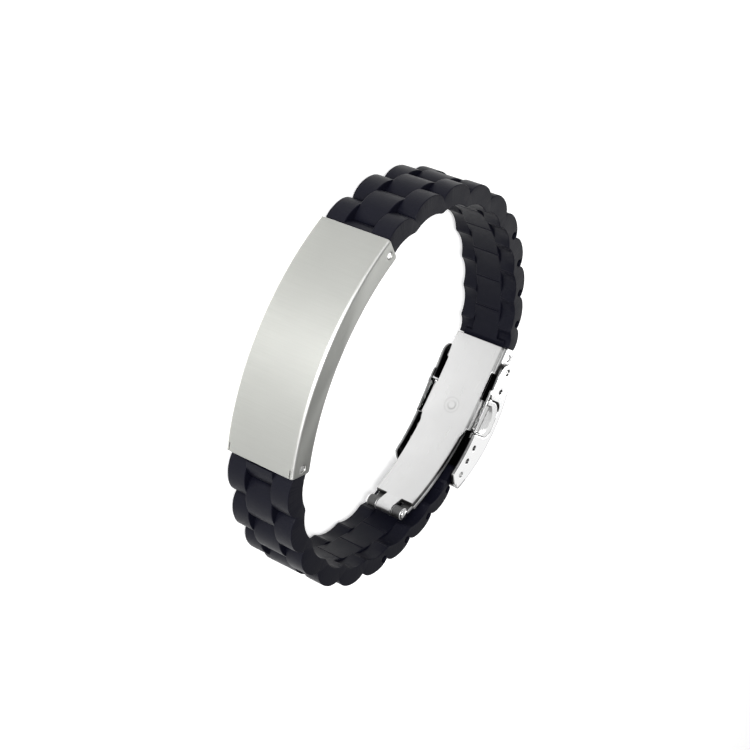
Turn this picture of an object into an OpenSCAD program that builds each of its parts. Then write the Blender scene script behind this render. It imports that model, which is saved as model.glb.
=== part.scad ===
/* [Name plate] */
// Width of the plate across the strap
plate_w = 13; // [12.6:0.1:13.4]
// Radius of the plate's outer face
plate_r = 43.7; // [43:0.1:45]
// Angle from the middle of the plate to either end
plate_angle = 25.9; // [25:0.1:26.2]
// How far the folded sides stand in towards the wrist
plate_side = 4.1; // [4:0.1:4.6]
// Thickness of the plate's sheet
plate_sheet = 0.7; // [0.6:0.1:0.8]
// Rounding of the two folds
plate_fold = 0.45; // [0.3:0.05:0.5]
// Depth of the pin holes below the outer face
plate_pin_depth = 2.35; // [2.2:0.05:2.5]
// Angle from the middle of the plate to a pin hole
plate_pin_angle = 24.3; // [24:0.1:24.5]

/* [Strap] */
// Strap width at the plate
strap_w = 12; // [11.6:0.1:12.2]
// Strap width at the clasp
strap_end_w = 10.5; // [10.3:0.1:10.6]
// Width of the middle row of lugs
middle_row_w = 5.2; // [4.8:0.1:5.6]
// Thickness of the band under the lugs
band = 2; // [1.9:0.1:2.2]
// Depth of the band's middle below the plate's outer face
band_depth = 3.1; // [3:0.1:3.2]
// Height of the lug next to the plate
lug_rise = 1.95; // [1.6:0.05:2]
// Height of the last lug, at the clasp
lug_end_rise = 1.05; // [0.8:0.05:1.3]
// Length of the first whole link
link_length = 7.8; // [7.7:0.05:7.85]
// How much shorter each link is than the one before
link_shrink = 0.2; // [0.18:0.01:0.22]
// Depth of the hollow under each link of the two side rows, towards the wrist
hollow = 0.7; // [0.5:0.05:0.8]
// Depth of the same hollow in the middle row
middle_hollow = 0.2; // [0.1:0.05:0.3]
// Diameter of the spare cross holes near the clasp
cross_hole_d = 1.3; // [1:0.1:1.4]

/* [Clasp] */
// Thickness of the two blades
blade_sheet = 0.8; // [0.7:0.05:0.8]
// Width of the inner blade over its folded sides
blade_w = 10.6; // [10.5:0.05:10.65]
// Width of the cover
cover_w = 12.7; // [12.6:0.05:12.75]
// Thickness of the cover's sheet
cover_sheet = 0.55; // [0.5:0.05:0.6]
// Radius of the cover's back
cover_r = 21; // [20.8:0.1:21.2]
// Outer diameter of the hinge barrel between the blades
barrel_d = 2.2; // [2.1:0.05:2.3]
// How far a push button moves
button_travel = 0.45; // [0.3:0.05:0.45]
// How far a push button stands out of the cover's side
button_proud = 0.13; // [0.09:0.02:0.15]

/* [Hidden] */
$fn = 48;

steel = "#cfcfca";
polished = "#e6e6e6";
rubber = "#1f2024";

// Strap routes from the plate's end, one row for each arc: radius, sweep in degrees
route_left = [[23.8, 22.9], [27.6, 68.45], [32.7, 48]];
route_right = [[25.7, 63.7], [18, 14.7], [32.5, 62]];
// Where each strap's first valley and bar lie along its route
first_valley_left = 6.2;
first_valley_right = 7.4;
bar_left_s = 66.85;
bar_right_s = 64.85;
body_end_left_s = 65.7;
body_end_right_s = 62.4;
// How near the middle of the clasp each strap's full width may come
left_clip_x = 12.8;
right_clip_x = 12;
links = 10;
holed_links = [6, 7, 8, 9];

band_r = plate_r - band_depth;
route_start = [band_r * sin(plate_angle), plate_r - band_r * cos(plate_angle), plate_angle];
slit_in = 0.62;
slit_w = 0.2;
slit_l = 1.4;
shoulder_gap = 0.2;
tongue_half = 1;
tongue_gap = 0.25;
tongue_before = 2.2;
tongue_after = 1.2;
left_tongue_w = 8.5;
right_tongue_w = 10;
hole_back = 0.95;
hole_out = 0.8;

// The blades are traced from the barrel towards the left strap: x, y, heading
blade_start = [18.7, 48.75, 143.3];
blade_route = [[37, 31.2], [300, 2.43]];
blade_length = (37 * 31.2 + 300 * 2.43) * PI / 180;
blade_steps = 16;
blade_gap = 0.2;
middle_in = blade_sheet + blade_gap;
middle_out = middle_in + blade_sheet;
barrel_ahead = 2.5;
barrel_out = 0.42;
barrel_at = let(h = blade_start[2], p = blade_start)
    [p[0] - barrel_ahead * cos(h) + barrel_out * sin(h),
     p[1] - barrel_ahead * sin(h) - barrel_out * cos(h)];
knuckle_half = 1.55;
knuckle_gap = 0.15;
barrel_half = 3.5;
fold_pin_r = 0.5;
fold_head_r = 0.87;
fold_head_t = 0.35;

// Outline of the inner blade on one side, from the left end: x, half width
blade_outline = [[-14, blade_w / 2], [-7.6, blade_w / 2], [-7.6, 4.6], [-2.6, 4.6],
                 [-2.6, blade_w / 2], [2.9, blade_w / 2], [3.6, 4.65], [4.9, 4.3], [19.5, 3.9]];
middle_w = 8.2;
middle_ear_r = 0.85;
middle_from = 0.2;
// Outline of the middle blade, the same way
middle_outline = [[-9.6, middle_w / 2], [3, middle_w / 2], [19.5, 3.85]];
// The two folded sides of the inner blade: where each ends or starts, and its height
side_one = [-7.6, 3.9, 1.9];
side_one_step = -10.25;
side_two = [-2.6, 2.9, 1.9];

cover_top = 63.5;
cover_at = [0.3, cover_top - cover_r];
cover_left = -9.9;
cover_right = 13.8;
cover_pin_at = [-8.7, 59.25];
cover_ear_at = [-8, 58.65];
cover_ear_r = 2;
cover_pin_r = 0.5;
lower_line_r = 26;
lower_line_at = [1.5, 30.45];
slot_left = -3.2;
slot_right = 3.6;
slot_top = 61.65;
slot_round = 1.7;
button_round = 2.8;
// Lower edge of the cover's side: left ear, its step up to the slot, then the pointed right end
ear_low = 56.65;
ear_step_left = 0.9;
ear_step = [0.1, 57.45];
side_low = 53.5;
tip_edge = [[10.5, side_low], [12, 54.75], [12.6, 55.4], [13.2, 56.35], [cover_right, 58]];
spare_hole_r = 0.48;
spare_holes = [[8.55, 57.55], [5.95, 58.15], [-5.05, 59.55]];
button_gap = 0.25;
keeper_r = 0.6;
keeper_in = 5.05;
keeper_out = 5.55;
pad_in = 5.9;
neck_low = 58.5;
pad_low = 56.3;
claw_at = [3.3, 56.9];
claw_size = [1.3, 3.4];
scoop_at = [0.6, 55.8];
scoop_tilt = 35;
dimple_at = [0.3, 56.25];
middle_ear_from = 57.85;

bar_r = 0.7;
bar_tip_r = 0.5;
left_bar_r = 0.6;
right_bar_r = 0.65;
bar_clear = 0.1;
bar_fit = 0.05;
pin_fit = 0.03;

loop_depth = cover_top;

// Place after turning along an arc; a place is x, y and heading
function turned(p, r, a) =
    [p[0] + r * (sin(p[2] + a) - sin(p[2])), p[1] - r * (cos(p[2] + a) - cos(p[2])), p[2] + a];
// Place at a distance along a route of arcs
function at(route, s, p, k = 0) =
    let(r = route[k][0], whole = r * route[k][1] * PI / 180)
    (s <= whole || k == len(route) - 1)
        ? turned(p, r, s / r * 180 / PI)
        : at(route, s - whole, turned(p, r, route[k][1]), k + 1);
// Point beside a place, positive away from the wrist
function beside(p, d) = [p[0] + d * sin(p[2]), p[1] - d * cos(p[2])];
// Ribbon between two offsets, from one distance along a route to another
function ribbon(route, start, s0, s1, d0, d1, n) = concat(
    [for (i = [0:n]) beside(at(route, s0 + (s1 - s0) * i / n, start), d0)],
    [for (i = [n:-1:0]) beside(at(route, s0 + (s1 - s0) * i / n, start), d1)]);

// Distance along the strap of the valley after link k, and of the staggered middle row's
function valley(first, k) = first + k * link_length - link_shrink * k * (k + 1) / 2;
function staggered(first, k, shift) =
    shift ? (valley(first, k - 1) + valley(first, k)) / 2 : valley(first, k);
function rise(k) = lug_rise + (lug_end_rise - lug_rise) * max(0, k) / links;
// Round back of a lug, and the hollow under it, at u from -1 to 1 along the link
function lug(u) = pow(max(0, 1 - pow(abs(u), 2.2)), 0.7);
function scoop(u) = 1 - u * u;

lug_steps = [-0.97, -0.9, -0.78, -0.6, -0.38, -0.13, 0.13, 0.38, 0.6, 0.78, 0.9, 0.97];
scoop_steps = [-0.7, -0.35, 0, 0.35, 0.7];

// One edge of a row of links between two distances; side is 1 outside and -1 on the wrist side
function row_edge(route, first, shift, s0, s1, side) =
    let(steps = side > 0 ? lug_steps : scoop_steps, depth = shift ? middle_hollow : hollow)
    [for (k = [-1:links], j = [0:len(steps)])
        let(a = min(s1, staggered(first, k, shift)),
            b = min(s1, staggered(first, k + 1, shift)),
            u = j == 0 ? -1 : steps[j - 1],
            s = (a + b) / 2 + u * (b - a) / 2,
            d = side > 0 ? band / 2 + rise(k + 1) * lug(u) : depth * (scoop(u) - 0.4) - band / 2)
        if (s > s0 && s < s1) beside(at(route, s, route_start), d)];
function row_outline(route, first, shift, s0, s1) =
    let(outside = row_edge(route, first, shift, s0, s1, 1),
        inside = row_edge(route, first, shift, s0, s1, -1),
        n = len(inside) - 1)
    concat(
        [beside(at(route, s0, route_start), band / 2)], outside,
        [beside(at(route, s1, route_start), band / 2), beside(at(route, s1, route_start), -band / 2)],
        [for (i = [n:-1:0]) inside[i]],
        [beside(at(route, s0, route_start), -band / 2)]);

// Plan coordinates have the plate's middle at the origin; this puts the bracelet on its side
module lying() { translate([0, -loop_depth / 2, plate_w / 2]) children(); }
module plan(half) { translate([0, 0, -half]) linear_extrude(2 * half) children(); }
module both_sides(from, to) {
    translate([0, 0, from]) linear_extrude(to - from) children();
    translate([0, 0, -to]) linear_extrude(to - from) children();
}
module cross_pin(at, r, half) { translate([at[0], at[1], -half]) cylinder(r = r, h = 2 * half); }
// A sector of the plate's curve, between two depths below its outer face
module plate_sector(depth0, depth1, angle0, angle1, half) {
    translate([0, plate_r, 0]) rotate(angle0 - 90) rotate_extrude(angle = angle1 - angle0, $fn = 96)
        translate([plate_r - depth1, -half]) square([depth1 - depth0, 2 * half]);
}

function on_plate(angle, depth) =
    [(plate_r - depth) * sin(angle), plate_r - (plate_r - depth) * cos(angle)];

module id_plate() color(steel) lying() difference() {
    translate([0, plate_r, 0]) rotate(-90 - plate_angle)
        rotate_extrude(angle = 2 * plate_angle, $fn = 96) difference() {
            union() {
                translate([plate_r - plate_side, -plate_w / 2])
                    square([plate_side - plate_fold, plate_w]);
                translate([plate_r - plate_side, -plate_w / 2 + plate_fold])
                    square([plate_side, plate_w - 2 * plate_fold]);
                for (side = [-1, 1])
                    translate([plate_r - plate_fold, side * (plate_w / 2 - plate_fold)])
                        circle(plate_fold);
            }
            translate([plate_r - plate_side - 1, -plate_w / 2 + plate_sheet])
                square([plate_side + 1 - plate_sheet, plate_w - 2 * plate_sheet]);
        }
    for (end = [-1, 1])
        cross_pin(on_plate(end * plate_pin_angle, plate_pin_depth), bar_tip_r + bar_clear, plate_w);
    // Relief slits where the folds meet the plate's right end
    for (side = [-1, 1])
        translate([0, plate_r, side * (plate_w / 2 - slit_in) - slit_w / 2])
            rotate(plate_angle) translate([-slit_l, -plate_r - 0.5, 0])
                cube([2 * slit_l, 0.5 + plate_sheet + 0.15, slit_w]);
}

// Spring bar with a body between the walls and thinner tips in their holes
module spring_bar(at, body_half, tip_half, body_r = bar_r, tip_r = bar_tip_r) {
    color(polished) lying() {
        cross_pin(at, body_r, body_half);
        cross_pin(at, tip_r, tip_half);
    }
}

module plate_bar(end)
    spring_bar(on_plate(end * plate_pin_angle, plate_pin_depth),
               plate_w / 2 - plate_sheet - 0.2, plate_w / 2 - 0.1);
module plate_bar_left() plate_bar(-1);
module plate_bar_right() plate_bar(1);

// Wedge that narrows the strap from the plate to the clasp
module strap_taper() {
    y0 = 6;
    y1 = 58;
    slope = (strap_w - strap_end_w) / 2 / (y1 - y0);
    low = strap_w / 2 + slope * (y0 + 10);
    high = strap_w / 2 - slope * (80 - y0);
    rotate([90, 0, 90]) translate([0, 0, -60]) linear_extrude(120)
        polygon([[-10, -low], [80, -high], [80, high], [-10, low]]);
}

// One half of the strap, drawn on the right: three rows of links and a tongue at each end
module strap_half(route, first, body_end, clip_x, bar_s, tongue_w, bar_body_r) {
    bar = at(route, bar_s, route_start);
    plate_bar = on_plate(plate_pin_angle, plate_pin_depth);
    difference() {
        union() {
            intersection() {
                union() {
                    plan(middle_row_w / 2)
                        polygon(row_outline(route, first, true, shoulder_gap, body_end));
                    both_sides(middle_row_w / 2, strap_w / 2 + 1)
                        polygon(row_outline(route, first, false, shoulder_gap, body_end));
                }
                strap_taper();
                translate([clip_x, -10, -10]) cube([40, 80, 20]);
            }
            plate_sector(plate_sheet + tongue_gap, band_depth + band / 2 - tongue_gap,
                         plate_pin_angle - tongue_before, plate_angle + tongue_after,
                         plate_w / 2 - plate_sheet - tongue_gap);
            plan(tongue_w / 2) {
                polygon(ribbon(route, route_start, body_end - 2, bar_s, tongue_half, -tongue_half, 6));
                translate([bar[0], bar[1]]) circle(tongue_half);
            }
        }
        cross_pin(plate_bar, bar_r + bar_fit, strap_w);
        cross_pin(bar, bar_body_r + bar_fit, strap_w);
        for (k = holed_links) {
            hole = beside(at(route, valley(first, k - 1) - hole_back, route_start), hole_out);
            cross_pin(hole, cross_hole_d / 2, strap_w);
        }
    }
}

module strap_left() color(rubber) lying() mirror([1, 0, 0])
    strap_half(route_left, first_valley_left, body_end_left_s, left_clip_x, bar_left_s,
               left_tongue_w, left_bar_r);
module strap_right() color(rubber) lying()
    strap_half(route_right, first_valley_right, body_end_right_s, right_clip_x, bar_right_s,
               right_tongue_w, right_bar_r);

clasp_bar_left_at = let(p = at(route_left, bar_left_s, route_start)) [-p[0], p[1]];
clasp_bar_right_at = let(p = at(route_right, bar_right_s, route_start)) [p[0], p[1]];
module clasp_bar_left()
    spring_bar(clasp_bar_left_at, blade_w / 2 - blade_sheet - 0.15, blade_w / 2 - 0.1, left_bar_r);
module clasp_bar_right()
    spring_bar(clasp_bar_right_at, cover_w / 2 - cover_sheet - 0.2, cover_w / 2 - 0.1,
               right_bar_r, spare_hole_r - bar_fit);

// Outline seen from the wrist, mirrored about the strap's middle and standing through the clasp
module outline_prism(points) {
    rotate([90, 0, 0]) translate([0, 0, -80]) linear_extrude(80)
        polygon(concat([for (q = points) q],
                       [for (i = [len(points) - 1:-1:0]) [points[i][0], -points[i][1]]]));
}
// A blade's sheet between two offsets from the inner face
module blade_ribbon(s0, s1, d0, d1) {
    polygon(ribbon(blade_route, blade_start, s0, s1, d0, d1, blade_steps));
}
// Tongue from a blade's end to the barrel, between its inner offsets at the blade and at the barrel
module barrel_tongue(from_s, inner, barrel_inner) {
    p = at(blade_route, from_s, blade_start);
    b = [barrel_at[0], barrel_at[1], blade_start[2]];
    polygon([beside(p, inner), beside(p, inner + blade_sheet),
             beside(b, barrel_inner + blade_sheet), beside(b, barrel_inner)]);
}

// Folded side of a blade between two places along it, to a height above its wrist face
module blade_side(x0, x1, height) {
    intersection() {
        blade_ribbon(10, blade_length, 0, height);
        translate([x0, 50]) square([x1 - x0, 12]);
    }
}

module inner_blade() color(steel) lying() difference() {
    union() {
        intersection() {
            plan(blade_w / 2) blade_ribbon(0, blade_length, 0, blade_sheet);
            outline_prism(blade_outline);
        }
        both_sides(blade_w / 2 - blade_sheet, blade_w / 2) {
            blade_side(-20, side_one_step, side_one[1]);
            blade_side(side_one_step - 1, side_one[0], side_one[2]);
            blade_side(side_two[0], side_two[1], side_two[2]);
        }
        plan(knuckle_half) {
            barrel_tongue(0.4, 0, -barrel_d / 2);
            translate(barrel_at) circle(barrel_d / 2);
        }
    }
    // Dimple stamped into the wrist face
    translate([dimple_at[0], dimple_at[1], 0]) rotate([90, 0, 0]) cylinder(r1 = 0.75, r2 = 1.05, h = 0.6);
    cross_pin(barrel_at, fold_pin_r + pin_fit, blade_w);
    cross_pin(clasp_bar_left_at, bar_tip_r + bar_clear, blade_w);
}

module middle_blade() color(steel) lying() difference() {
    union() {
        intersection() {
            plan(middle_w / 2) blade_ribbon(middle_from, blade_length, middle_in, middle_out);
            outline_prism(middle_outline);
        }
        both_sides(middle_w / 2 - 0.65, middle_w / 2) {
            translate(cover_pin_at) circle(middle_ear_r);
            translate([cover_pin_at[0] - middle_ear_r, middle_ear_from])
                square([2 * middle_ear_r, cover_pin_at[1] - middle_ear_from]);
        }
        both_sides(knuckle_half + knuckle_gap, barrel_half) {
            barrel_tongue(middle_from, middle_in, barrel_d / 2 - blade_sheet);
            translate(barrel_at) circle(barrel_d / 2);
        }
    }
    cross_pin(barrel_at, fold_pin_r + pin_fit, blade_w);
    cross_pin(cover_pin_at, cover_pin_r + bar_fit, blade_w);
}

module fold_pin() color(polished) lying() {
    cross_pin(barrel_at, fold_pin_r, barrel_half + 0.1);
    for (side = [-1, 1])
        translate([barrel_at[0], barrel_at[1],
                   side * (barrel_half + 0.05 + fold_head_t / 2) - fold_head_t / 2])
            cylinder(r = fold_head_r, h = fold_head_t);
}

// The cover's side seen from above, before the button's slot is cut
module cover_side() {
    intersection() {
        translate(cover_at) circle(cover_r, $fn = 96);
        union() {
            translate(cover_ear_at) circle(cover_ear_r);
            difference() {
                polygon(concat(
                    [[cover_ear_at[0] - cover_ear_r, 66], [cover_ear_at[0] - cover_ear_r, cover_ear_at[1]],
                     cover_ear_at, [cover_ear_at[0], ear_low], [slot_left - ear_step_left, ear_low],
                     [slot_left + ear_step[0], ear_step[1]], [slot_left + 0.2, side_low]],
                    tip_edge, [[cover_right, 66]]));
                translate(lower_line_at) circle(lower_line_r, $fn = 96);
            }
        }
    }
}
// The arched slot that a push button moves in, or the button itself with a gap
module slot_shape(gap, low, r) {
    left = slot_left + gap;
    right = slot_right - gap;
    top = slot_top - gap;
    intersection() {
        union() {
            translate([left, low]) square([right - left, top - r - low]);
            translate([left + r, low]) square([right - left - 2 * r, top - low]);
            for (x = [left + r, right - r]) translate([x, top - r]) circle(r);
        }
        translate([left - 1, low]) square([right - left + 2, top]);
    }
}

module clasp_cover() color(polished) lying() difference() {
    union() {
        intersection() {
            plan(cover_w / 2) difference() {
                translate(cover_at) circle(cover_r, $fn = 96);
                translate(cover_at) circle(cover_r - cover_sheet, $fn = 96);
            }
            plan(cover_w) translate([cover_left, 50]) square([cover_right - cover_left, 20]);
        }
        both_sides(cover_w / 2 - cover_sheet, cover_w / 2) cover_side();
    }
    plan(cover_w) slot_shape(0, 50, slot_round);
    cross_pin(cover_pin_at, cover_pin_r + bar_clear, cover_w);
    cross_pin(clasp_bar_right_at, spare_hole_r, cover_w);
    for (hole = spare_holes) cross_pin(hole, spare_hole_r, cover_w);
}
module cover_pin() color(polished) lying() cross_pin(cover_pin_at, cover_pin_r, cover_w / 2);

// Push button: a pad in the cover's slot, a keeper behind the slot and a claw at the blade
module button() {
    difference() {
        union() {
            translate([0, 0, pad_in]) linear_extrude(cover_w / 2 + button_proud - pad_in)
                slot_shape(button_gap, pad_low, button_round);
            translate([0, 0, keeper_in]) linear_extrude(pad_in - keeper_in + 0.1)
                slot_shape(button_gap, neck_low, button_round);
            translate([0, 0, keeper_in]) linear_extrude(keeper_out - keeper_in) {
                slot_shape(button_gap - keeper_r, neck_low, button_round);
                translate(claw_at) square(claw_size);
            }
        }
        // Lens-shaped thumb scoop on the wrist side of the pad
        translate([scoop_at[0], scoop_at[1], cover_w / 2 + button_proud + 0.75]) rotate([scoop_tilt, 0, 0])
            cube([20, 3, 1.2], center = true);
    }
}
module button_upper() color(polished) lying() button();
module button_lower() color(polished) lying() mirror([0, 0, 1]) button();

id_plate();
plate_bar_left();
plate_bar_right();
strap_left();
strap_right();
inner_blade();
middle_blade();
fold_pin();
clasp_cover();
cover_pin();
clasp_bar_left();
clasp_bar_right();
button_upper();
button_lower();
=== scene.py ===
import math

import bmesh
import bpy
import numpy as np
from mathutils import Matrix, Vector
from mathutils.geometry import delaunay_2d_cdt


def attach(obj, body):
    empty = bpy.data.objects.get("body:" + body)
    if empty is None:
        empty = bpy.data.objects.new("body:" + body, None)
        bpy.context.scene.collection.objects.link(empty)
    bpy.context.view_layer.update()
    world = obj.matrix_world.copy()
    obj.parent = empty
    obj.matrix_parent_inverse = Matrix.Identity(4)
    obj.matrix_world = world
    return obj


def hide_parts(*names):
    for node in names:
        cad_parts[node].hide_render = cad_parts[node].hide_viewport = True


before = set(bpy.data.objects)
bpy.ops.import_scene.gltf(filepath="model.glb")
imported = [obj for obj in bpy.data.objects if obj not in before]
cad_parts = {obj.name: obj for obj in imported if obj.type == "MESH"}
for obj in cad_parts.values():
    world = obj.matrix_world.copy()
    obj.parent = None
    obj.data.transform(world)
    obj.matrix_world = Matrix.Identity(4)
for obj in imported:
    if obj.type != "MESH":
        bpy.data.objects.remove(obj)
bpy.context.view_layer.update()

# ---------------------------------------------------------------- Name plate
# A strip of steel sheet curved to the wrist, with both long sides folded down into a shallow tray.
# It is stamped from one blank, bent, and brushed lightly from side to side. Two holes in each side
# take the bars that hold the strap, and a slit in either fold, at one end, eases the bend.

plate_r = 43.7
plate_half = 6.5
plate_fold = 0.45
plate_thick = 0.7
plate_angle = 25.9
plate_deep = 4.1
plate_end = plate_r * math.radians(plate_angle)
plate_side = plate_half - plate_fold + plate_fold * math.pi / 2 + plate_deep - plate_fold
plate_bar_deep, plate_bar_angle = 2.35, 24.3
frame_y, frame_z = 31.75, 6.5


def in_frame(x, y, z):
    """Plan millimetres, with the origin in the middle of the plate's outer face, to metres in the frame."""
    return np.stack([x, y - frame_y, z + frame_z], -1) * 0.001


def around(angles):
    """The cosine and sine of each angle, side by side."""
    return np.stack([np.cos(angles), np.sin(angles)], 1)


def outline(corners, step=0.12):
    """Closed loop through corners (x, y, radius). A corner's radius gives the arc that touches both of
    its sides, and the straight parts between the arcs are divided evenly to the step."""
    corner = np.array(corners, float)
    loop = []
    for back, here, ahead in zip(np.roll(corner, 1, 0), corner, np.roll(corner, -1, 0)):
        u, v = back[:2] - here[:2], ahead[:2] - here[:2]
        u, v = u / np.hypot(*u), v / np.hypot(*v)
        half = math.acos(np.clip(u @ v, -1, 1)) / 2
        if here[2] <= 0 or half > 1.55:
            loop.append(here[None, :2])
            continue
        centre = here[:2] + (u + v) / np.hypot(*(u + v)) * here[2] / math.sin(half)
        first = here[:2] + u * here[2] / math.tan(half) - centre
        last = here[:2] + v * here[2] / math.tan(half) - centre
        turn = math.atan2(first[0] * last[1] - first[1] * last[0], first @ last)
        a = math.atan2(first[1], first[0]) + np.linspace(0, turn, 2 + int(abs(turn) * here[2] / step * 2 + 3))
        loop.append(centre + here[2] * around(a))
    loop = np.concatenate(loop)
    ahead = np.roll(loop, -1, 0)
    parts = np.maximum(1, np.ceil(np.hypot(*(ahead - loop).T) / step)).astype(int)
    share = np.concatenate([np.arange(n) / n for n in parts])[:, None]
    return np.repeat(loop, parts, 0) * (1 - share) + np.repeat(ahead, parts, 0) * share


def circle(x, y, radius, steps=40):
    """Points of a circle: centre plus radius times the cosine and sine of even angles."""
    return (x, y) + radius * around(np.linspace(0, 2 * np.pi, steps, endpoint=False))


def wound(loop, left_handed=False):
    """The loop turned anticlockwise, or clockwise for a hole, by the sign of its area."""
    ahead = np.roll(loop, -1, 0)
    area = (loop[:, 0] * ahead[:, 1] - loop[:, 1] * ahead[:, 0]).sum()
    return loop[::-1] if (area < 0) != left_handed else loop


def mitres(loop):
    """Vectors that move each corner of a loop inwards so that its two sides move by one: the sum of the
    sides' normals over half of its squared length, held back at very sharp corners."""
    side = np.roll(loop, -1, 0) - loop
    side /= np.maximum(np.linalg.norm(side, axis=1, keepdims=True), 1e-9)
    left = np.stack([-side[:, 1], side[:, 0]], 1)
    both = left + np.roll(left, 1, 0)
    return both / np.maximum((both ** 2).sum(1, keepdims=True) / 2, 0.5)


def inside(points, loop):
    """True for points inside a loop: a level line from the point crosses the loop an odd number of times."""
    x, y = points[:, 0, None], points[:, 1, None]
    a, b = loop, np.roll(loop, -1, 0)
    rise = np.where(b[:, 1] == a[:, 1], 1e-12, b[:, 1] - a[:, 1])
    over = ((a[:, 1] > y) != (b[:, 1] > y)) & (x < (b[:, 0] - a[:, 0]) * (y - a[:, 1]) / rise + a[:, 0])
    return over.sum(1) % 2 == 1


def on_sheet(points, rings):
    """True for points inside the first loop and outside all the others."""
    keep = inside(points, rings[0])
    for ring in rings[1:]:
        keep &= ~inside(points, ring)
    return keep


no_spread = np.zeros((0, 2))


def blank(edge_loop, holes, spread, thick, edge, place, clear=0.1):
    """A blank cut from sheet, and then shaped. Its rim is a profile carried along the outline and round
    each hole: a quarter circle, the straight cut, and a quarter circle. Both faces are filled with
    triangles between the rims and the spread points. place turns (along, across, depth) into plan
    millimetres. Returns points, faces, the blank's own coordinates, and a mark on the rounded rims."""
    turn = np.linspace(0, np.pi / 2, 4)
    inset, drop = edge * (1 - np.sin(turn)), edge * (1 - np.cos(turn))
    inset = np.concatenate([inset, inset[::-1]])
    drop = np.concatenate([drop, thick - drop[::-1]])
    loops = [wound(edge_loop)] + [wound(h, True) for h in holes]
    flat, faces, upper, lower, rings, links = [], [], [], [], [], []
    count = start = 0
    for loop in loops:
        ring = loop[None] + mitres(loop)[None] * inset[:, None, None]
        k, n = ring.shape[:2]
        flat.append(np.concatenate([ring, np.broadcast_to(drop[:, None, None], (k, n, 1))], 2).reshape(-1, 3))
        at = count + np.arange(k * n).reshape(k, n)
        ahead = np.roll(at, -1, 1)
        faces.append(np.stack([at[:-1], at[1:], ahead[1:], ahead[:-1]], -1).reshape(-1, 4))
        upper.append(at[0])
        lower.append(at[-1])
        rings.append(ring[0])
        links.append(start + np.stack([np.arange(n), np.roll(np.arange(n), -1)], 1))
        count, start = count + k * n, start + n
    rims = np.concatenate(rings)
    if len(spread):
        spread = spread[on_sheet(spread, rings)]
        gap = np.sqrt(((spread[:, None] - rims[None]) ** 2).sum(2)).min(1)
        spread = spread[gap > clear]
    m = len(spread)
    corners = np.concatenate([rims, spread]) if m else rims
    _, _, fills, source, _, _ = delaunay_2d_cdt(corners.tolist(), np.concatenate(links).tolist(), [], 0, 1e-5)
    source = np.array([s[0] if s else -1 for s in source])
    fills = source[np.array(fills)]
    fills = fills[(fills >= 0).all(1)]
    fills = fills[on_sheet(corners[fills].mean(1), rings)]
    upper = np.concatenate(upper + [count + np.arange(m)])
    lower = np.concatenate(lower + [count + m + np.arange(m)])
    if m:
        flat.append(np.concatenate([spread, np.zeros((m, 1))], 1))
        flat.append(np.concatenate([spread, np.full((m, 1), thick)], 1))
    flat = np.concatenate(flat)
    rim = np.zeros(len(flat))
    rim[:count] = 1
    rim[upper] = rim[lower] = 0
    faces = sum([f.tolist() for f in faces], []) + upper[fills].tolist() + lower[fills[:, ::-1]].tolist()
    return in_frame(*place(flat[:, 0], flat[:, 1], flat[:, 2])), faces, flat * 0.001, rim


def in_scene(name, data):
    """A new object with this data, linked to the scene."""
    made = bpy.data.objects.new(name, data)
    bpy.context.scene.collection.objects.link(made)
    return made


def piece(name, parts, crease=38, sheet=True):
    """One mesh from several blanks: doubles merged, slivers dissolved, faces turned outwards, and edges
    sharper than the crease angle kept crisp. A sheet's normals are weighted by area, so that a flat face
    stays flat right up to its rounded rim."""
    points, faces, coords, rims, count = [], [], [], [], 0
    for p, f, c, r in parts:
        points.append(p)
        faces += [[i + count for i in corner] for corner in f]
        coords.append(c)
        rims.append(r)
        count += len(p)
    mesh = bpy.data.meshes.new(name)
    mesh.from_pydata(np.concatenate(points).tolist(), [], faces)
    own = mesh.attributes.new("blank", "FLOAT_VECTOR", "POINT")
    own.data.foreach_set("vector", np.concatenate(coords).ravel())
    own = mesh.attributes.new("rim", "FLOAT", "POINT")
    own.data.foreach_set("value", np.concatenate(rims))
    form = bmesh.new()
    form.from_mesh(mesh)
    bmesh.ops.remove_doubles(form, verts=form.verts, dist=1.5e-6)
    bmesh.ops.dissolve_degenerate(form, edges=form.edges, dist=1e-6)
    bmesh.ops.recalc_face_normals(form, faces=form.faces)
    form.to_mesh(mesh)
    form.free()
    mesh.shade_smooth()
    mesh.set_sharp_from_angle(angle=math.radians(crease))
    made = in_scene(name, mesh)
    if sheet:
        flats = made.modifiers.new("flat_faces", "WEIGHTED_NORMAL")
        flats.mode, flats.weight, flats.keep_sharp = "FACE_AREA", 100, True
    return made


def folded(across, depth, half, fold):
    """Cross-section of a sheet with both sides folded down. Flat to the fold, then a quarter circle, then
    straight down, offset inwards by the depth and held at the mitre of the inner corner."""
    flat = half - fold
    turn = np.clip((np.abs(across) - flat) / fold, 0, np.pi / 2)
    down = np.maximum(np.abs(across) - flat - fold * np.pi / 2, 0)
    z = np.minimum(np.abs(across), flat) + (fold - depth) * np.sin(turn)
    deep = fold - (fold - depth) * np.cos(turn) + down
    return np.sign(across) * np.minimum(z, half - depth), np.maximum(deep, depth)


def side_band(half, fold, depth):
    """Where a point of a folded side lies across the flat blank, from its depth below the outer face."""
    return half - fold + fold * np.pi / 2 + depth - fold


def grid(along, across):
    """Every crossing of two sets of lines."""
    return np.stack([g.ravel() for g in np.meshgrid(along, across)], 1)


def both_ways(values):
    """The values and their mirror image about zero."""
    return np.unique(np.concatenate([-np.asarray(values), np.asarray(values)]))


def bend_plate(along, across, depth):
    """Along the plate's arc: the angle is the distance over the radius, and the depth shortens the radius."""
    z, deep = folded(across, depth, plate_half, plate_fold)
    angle = along / plate_r
    return (plate_r - deep) * np.sin(angle), plate_r - (plate_r - deep) * np.cos(angle), z


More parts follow.
